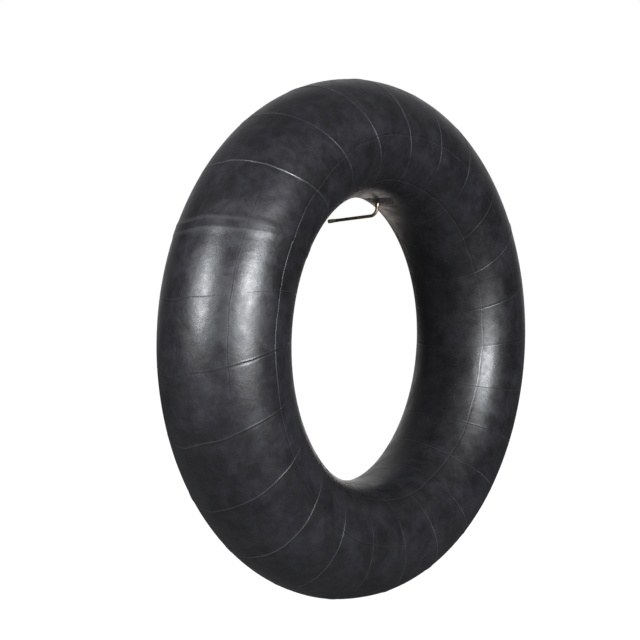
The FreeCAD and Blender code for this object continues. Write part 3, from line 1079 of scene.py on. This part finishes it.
@dataclass
class BentStem:
    """Drawn brass tube, bent once, with a screw thread at its mouth and the core's chamber inside."""

    place: ValvePlace
    outside: float = 3.6 * MM
    bore: float = 1.9 * MM
    foot_height: float = 7.0 * MM
    bend: float = 16.0 * MM
    thread_run: float = 22.0 * MM
    thread_crest: float = 3.85 * MM
    thread_root: float = 3.38 * MM
    thread_pitch: float = 0.794 * MM
    mouth_edge: float = 3.35 * MM
    chamber: float = 2.6 * MM
    chamber_depth: float = 7.4 * MM
    taper: float = 1.8 * MM
    throat: float = 2.05 * MM
    throat_depth: float = 26.0 * MM
    around: int = 36
    thread_steps: int = 8
    thread_start: float = 0.05
    flank_from: float = 0.1
    flank_to: float = 0.9
    bend_steps: int = 20
    run_steps: int = 12
    weld: float = 0.002 * MM

    def build(self, finish: Finish) -> Object:
        """Makes the stem.

        Args:
            finish: Its brass.

        Returns:
            The piece.
        """
        material = finish.material()
        thread = self._thread(material)
        thread.transform(self._frame(self._length()))
        shape = bmesh.new()
        shape.from_mesh(thread)
        run = self._length()
        skin = [(0.0, self.outside)] + [(s, self.outside) for s in self._stations(run - self.thread_run)]
        self._pipe(shape, skin)
        inside = [(run, self.mouth_edge), (run, self.chamber), (run - self.chamber_depth, self.chamber),
                  (run - self.chamber_depth - self.taper, self.throat),
                  (run - self.throat_depth, self.throat), (run - self.throat_depth, self.bore)]
        inside += [(s, self.bore) for s in reversed(self._stations(run - self.throat_depth)[:-1])]
        self._pipe(shape, inside + [(0.0, self.bore), (0.0, self.outside)])
        bmesh.ops.remove_doubles(shape, verts=shape.verts, dist=self.weld)
        mesh = mesh_of(shape, "bent_stem_threaded", material)
        return finished_piece(mesh, Body.TUBE, Slot.BRASS, "bent_stem")

    def _turn(self) -> float:
        """How far the bend turns."""
        return self.place.inwards.angle(self.place.outwards)

    def _first(self) -> float:
        """Straight length from the foot to the bend."""
        return self.place.short_leg - self.foot_height - self.bend * tan(self._turn() / 2)

    def _length(self) -> float:
        """Whole length along the centre line."""
        last = self.place.long_leg - self.bend * tan(self._turn() / 2)
        return self._first() + self.bend * self._turn() + last

    def _stations(self, end: float) -> list[float]:
        """Places along the centre line that follow its straights and its bend.

        Args:
            end: Where to stop.

        Returns:
            Distances from the foot, rising.
        """
        first, arc = self._first(), self.bend * self._turn()
        bent = [first + arc * i / self.bend_steps for i in range(self.bend_steps + 1)]
        return bent + [bent[-1] + (end - bent[-1]) * i / self.run_steps for i in range(1, self.run_steps + 1)]

    def _frame(self, along: float) -> Matrix:
        """The stem's frame at a place along its centre line.

        Args:
            along: Distance from the foot.

        Returns:
            A matrix whose z axis runs along the stem.
        """
        first, turn = self._first(), self._turn()
        inwards, across = self.place.inwards, self.place.across
        sideways = across.cross(inwards)
        angle = min(max((along - first) / self.bend, 0.0), turn)
        rest = max(along - first - self.bend * turn, 0.0)
        seat = -inwards * self.place.seat_radius + inwards * self.foot_height
        way = inwards * cos(angle) + sideways * sin(angle)
        centre = (seat + inwards * (min(along, first) + self.bend * sin(angle))
                  + sideways * self.bend * (1 - cos(angle)) + way * rest)
        side = across.cross(way)
        return Matrix.Translation(centre) @ Matrix((side, across, way)).transposed().to_4x4()

    def _pipe(self, shape: BMesh, rows: Sequence[tuple[float, float]]) -> None:
        """Sweeps a skin along the centre line.

        Args:
            shape: The mesh to add to.
            rows: Distance from the foot and radius of each row.
        """
        loops = []
        for along, radius in rows:
            frame = self._frame(along)
            loops.append([shape.verts.new(frame @ Vector((radius * cos(TURN * k / self.around),
                                                          radius * sin(TURN * k / self.around), 0)))
                          for k in range(self.around)])
        bridge_loops(shape, loops, closed=False)

    def _thread(self, material: Material) -> Mesh:
        """Builds and runs the thread's node tree, along -z from the mouth.

        Args:
            material: The stem's material.

        Returns:
            The thread's skin, open at both ends.
        """
        made = Recipe("mouth_thread")
        run, pitch, root, crest, plain, edge, sides = made.inputs(
            self, "thread_run thread_pitch thread_root thread_crest outside mouth_edge around")
        steps = int(self.thread_run / self.thread_pitch) * self.thread_steps
        sheet, around, along = made.grid(sides, made.input("Steps", steps))
        height = made.times(made.add(along, -1.0), run)
        phase = made.add(made.sum(Sum.DIVIDE, height, pitch), made.times(around, -1.0))
        saw = made.sum(Sum.MODULO, phase, 1.0)
        flank = made.sum(Sum.ABSOLUTE, made.sum(Sum.MULTIPLY_ADD, saw, 2.0, -1.0))
        flat = made.step(flank, self.flank_from, self.flank_to)
        cut = made.add(root, made.times(flat, made.sum(Sum.SUBTRACT, crest, root)))
        started = made.step(along, 0.0, self.thread_start)
        skin = made.add(made.times(cut, started), made.times(plain, made.sum(Sum.SUBTRACT, 1.0, started)))
        lead_in = made.sum(Sum.SUBTRACT, edge, height)
        radius = made.sum(Sum.MINIMUM, skin, lead_in)
        angle = made.times(around, TURN)
        bent = made.place(sheet, made.vector(made.times(radius, made.sum(Sum.COSINE, angle)),
                                             made.times(radius, made.sum(Sum.SINE, angle)), height))
        return made.mesh(bent, material, self.weld)


@dataclass
class CoreSpring:
    """Coil spring between the pin's collar and the barrel's end, made at rest; the real one shortens as the
    pin is pressed.
    """

    place: ValvePlace
    top: float = 7.8 * MM
    bottom: float = 13.6 * MM
    coil_radius: float = 0.875 * MM
    wire: float = 0.14 * MM
    coils: float = 8.0
    coil_steps: int = 32
    wire_steps: int = 10
    press: float = 1.2 * MM
    weld: float = 0.001 * MM

    def build(self, finish: Finish) -> Object:
        """Makes the spring.

        Args:
            finish: Its steel.

        Returns:
            The piece.
        """
        mesh = self._coil(finish.material())
        outwards = self.place.outwards
        seat = self.place.mouth - outwards * self.bottom
        across = self.place.across
        side = across.cross(outwards)
        turn = Matrix((across, -side, outwards)).transposed().to_4x4()
        mesh.transform(Matrix.Translation(seat + outwards * self.wire) @ turn)
        piece = finished_piece(outward(mesh), Body.TUBE, Slot.SPRING_STEEL, "core_spring")
        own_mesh(piece)
        return piece

    def _coil(self, material: Material) -> Mesh:
        """Builds and runs the spring's node tree, from its seat along +z.

        Args:
            material: The spring's material.

        Returns:
            The coil.
        """
        made = Recipe("core_spring_coil")
        radius, wire, coils, coil_steps, wire_steps = made.inputs(
            self, "coil_radius wire coils coil_steps wire_steps")
        height = made.input("Height", self.bottom - self.top - 2 * self.wire)
        spiral = made.wired("GeometryNodeCurveSpiral", {
            "Resolution": coil_steps, "Rotations": coils, "Start Radius": radius, "End Radius": radius,
            "Height": height})
        profile = made.wired("GeometryNodeCurvePrimitiveCircle", {"Resolution": wire_steps, "Radius": wire})
        swept = made.wired("GeometryNodeCurveToMesh", {
            "Curve": spiral.outputs["Curve"], "Profile Curve": profile.outputs["Curve"], "Fill Caps": True})
        return made.mesh(swept.outputs["Mesh"], material, self.weld)


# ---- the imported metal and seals


@dataclass
class CarriedPieces:
    """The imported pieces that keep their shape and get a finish."""

    nodes: dict[str, Object]
    worn: dict[str, Finish]

    def dress(self) -> None:
        """Gives each piece its finish."""
        for name, finish in self.worn.items():
            node = self.nodes[name]
            material = bpy.data.materials.get(finish.name) or finish.material()
            node.data.materials.clear()
            node.data.materials.append(material)
            LOG.info("%s: carried over in %s", name, finish.name)


# ---- studio


@dataclass
class SoftBox:
    """A soft area light that faces a point.

    Args:
        name: The light's name.
        centre: Where it hangs.
        aim: What it faces.
        width: Its width.
        height: Its height.
        watts: Its power.
        tint: Its colour.
    """

    name: str
    centre: tuple[float, float, float]
    aim: tuple[float, float, float]
    width: float
    height: float
    watts: float
    tint: tuple[float, float, float] = (0.96, 0.97, 1.0)

    def build(self) -> Object:
        """Hangs the light.

        Returns:
            The light.
        """
        lamp = bpy.data.lights.new(self.name, "AREA")
        lamp.shape = "RECTANGLE"
        lamp.size, lamp.size_y = self.width, self.height
        lamp.energy = self.watts
        lamp.color = self.tint
        made = linked(self.name, lamp)
        made.location = self.centre
        made.visible_camera = False
        look = Vector(self.aim) - Vector(self.centre)
        made.rotation_euler = look.to_track_quat("-Z", "Y").to_euler()
        return made


@dataclass
class Studio:
    """Floor, surroundings, lights and camera.

    Args:
        ground: Height of the floor.
    """

    ground: float
    aim: tuple[float, float, float] = (-0.0578, 0.0701, 0.0397)
    distance: float = 2.864
    yaw: float = radians(50.576)
    pitch: float = radians(0.55)
    roll: float = radians(1.099)
    lens_mm: float = 74.572
    floor_side: float = 60.0
    floor_grey: float = 0.13
    surround: float = 0.058
    ceiling: float = 0.10
    backdrop: float = 0.7
    boxes: Sequence[SoftBox] = (
        SoftBox("front_box", (-1.85, -4.7, 0.95), (0.0, 0.0, 0.0), 1.8, 1.4, 520.0),
        SoftBox("low_card", (1.9, 1.35, -0.36), (0.05, 0.0, 0.30), 1.4, 0.3, 3.0, WARM),
        SoftBox("floor_card", (1.0, 0.75, -0.5), (0.05, 0.0, 0.30), 0.7, 0.5, 1.1, WARM),
        SoftBox("side_box", (-3.6, 0.15, 1.05), (-0.45, 0.0, 0.0), 0.5, 1.3, 165.0),
    )

    def build(self) -> None:
        """Sets everything up."""
        self._floor()
        self._surroundings()
        for box in self.boxes:
            box.build()
        self._camera()
        bpy.context.scene.view_settings.view_transform = "Standard"

    def _floor(self) -> None:
        """A plain floor, grey to the tube and white to the camera."""
        shape = bmesh.new()
        bmesh.ops.create_grid(shape, x_segments=2, y_segments=2, size=self.floor_side / 2)
        mesh = bpy.data.meshes.new("floor")
        shape.to_mesh(mesh)
        shape.free()
        mesh.transform(Matrix.Translation((0, 0, self.ground)))
        paint = Skin("pale_floor", 0.0)
        seen = paint.node("ShaderNodeLightPath").outputs["Is Camera Ray"]
        grey = (self.floor_grey, self.floor_grey, self.floor_grey, 1.0)
        for name, value in (("Base Color", grey), ("Roughness", 0.9), ("Specular IOR Level", 0.1),
                            ("Emission Color", WHITE), ("Emission Strength", seen)):
            paint.feed(paint.shader.inputs[name], value)
        mesh.materials.append(paint.material)
        linked("floor", mesh)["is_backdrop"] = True

    def _surroundings(self) -> None:
        """A room that is grey to the tube, paler behind it and overhead, and white to the camera."""
        world = bpy.data.worlds.new("studio")
        world.use_nodes = True
        tree = Tree(world.node_tree)
        look = tree.node("ShaderNodeTexCoord").outputs["Generated"]
        ahead = (sin(self.yaw), cos(self.yaw), 0.0)
        forward = tree.wired("ShaderNodeVectorMath", {0: look, 1: ahead}, operation="DOT_PRODUCT")
        _, _, up = tree.parts(look)
        shade = tree.add(tree.step(forward.outputs["Value"], 0.55, 1.0, self.surround, self.backdrop),
                         tree.step(up, -0.1, 0.9, 0.0, self.ceiling))
        seen = tree.node("ShaderNodeLightPath").outputs["Is Camera Ray"]
        strength = tree.sum(Sum.MAXIMUM, shade, seen)
        light = tree.wired("ShaderNodeBackground", {"Color": WHITE, "Strength": strength})
        tree.wired("ShaderNodeOutputWorld", {"Surface": light.outputs[0]})
        bpy.context.scene.world = world

    def _camera(self) -> None:
        """The camera, level but for a slight roll."""
        forward = Vector((sin(self.yaw) * cos(self.pitch),
                          cos(self.yaw) * cos(self.pitch), -sin(self.pitch)))
        level = Vector((cos(self.yaw), -sin(self.yaw), 0.0))
        up = level.cross(forward)
        right = level * cos(self.roll) + up * sin(self.roll)
        up = right.cross(forward)
        lens = bpy.data.cameras.new("camera")
        lens.sensor_width = 36.0
        lens.lens = self.lens_mm
        camera = linked("camera", lens)
        turn = Matrix((right, up, -forward)).transposed().to_4x4()
        camera.matrix_world = Matrix.Translation(Vector(self.aim) - forward * self.distance) @ turn
        bpy.context.scene.camera = camera


def main(nodes: dict[str, Object], mounts: dict[str, Any], box: tuple[Vector, Vector]) -> None:
    """Builds the tube, its valve and the studio.

    Args:
        nodes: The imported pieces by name.
        mounts: The record's mounts by name.
        box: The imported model's box.
    """
    inner = mounts["rim_seat"]["dims"]["r_mm"] * MM
    outer = mounts["tyre_seat"]["dims"]["r_mm"] * MM
    ring_low, ring_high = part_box("tube_body")
    ring = RubberRing(radius=(inner + outer) / 2, section_radial=(outer - inner) / 2,
                      section_axial=-ring_low.y, ground=ring_low.z)
    ring.build(TubeRubber("tube_rubber"))

    mouth = mounts["valve_mouth"]
    place = ValvePlace(Vector(mouth["pos_m"]), Vector(mouth["axis"]), inner)
    brass = Metal("stem_brass", clean=(0.34, 0.27, 0.155), tarnish=(0.11, 0.085, 0.058), dulled=0.55,
                  rough=0.36, darkening=0.85)
    BasePad(place, ring).build(SealRubber("pad_rubber"))
    BentStem(place).build(brass)
    CoreSpring(place).build(Metal("spring_steel", clean=(0.6, 0.6, 0.6), tarnish=(0.4, 0.4, 0.4), dulled=0.2))

    dark_brass = Metal("dark_brass", clean=(0.12, 0.08, 0.055), tarnish=(0.04, 0.028, 0.022), dulled=0.6,
                       rough=0.55)
    bright = Metal("core_brass", clean=(0.62, 0.46, 0.2), tarnish=(0.4, 0.28, 0.12), dulled=0.3)
    cap = Metal("cap_metal", clean=(0.22, 0.2, 0.17), tarnish=(0.08, 0.07, 0.06), dulled=0.5)
    seal = SealRubber("seal_rubber")
    CarriedPieces(nodes, {
        "spud": dark_brass, "core_plug": bright, "core_barrel": bright, "core_barrel_gasket": seal,
        "core_pin": bright, "core_cup": bright, "core_cup_seal": seal,
        "cap_shell": cap, "cap_gasket": seal,
    }).dress()
    Studio(ground=box[0].z).build()


if __name__ == "__main__":
    logging.basicConfig(level=logging.INFO, format="%(name)s %(message)s")
    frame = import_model()
    cad_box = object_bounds()
    main(frame["nodes"], {m["name"]: m for m in frame["record"]["mounts"]}, cad_box)
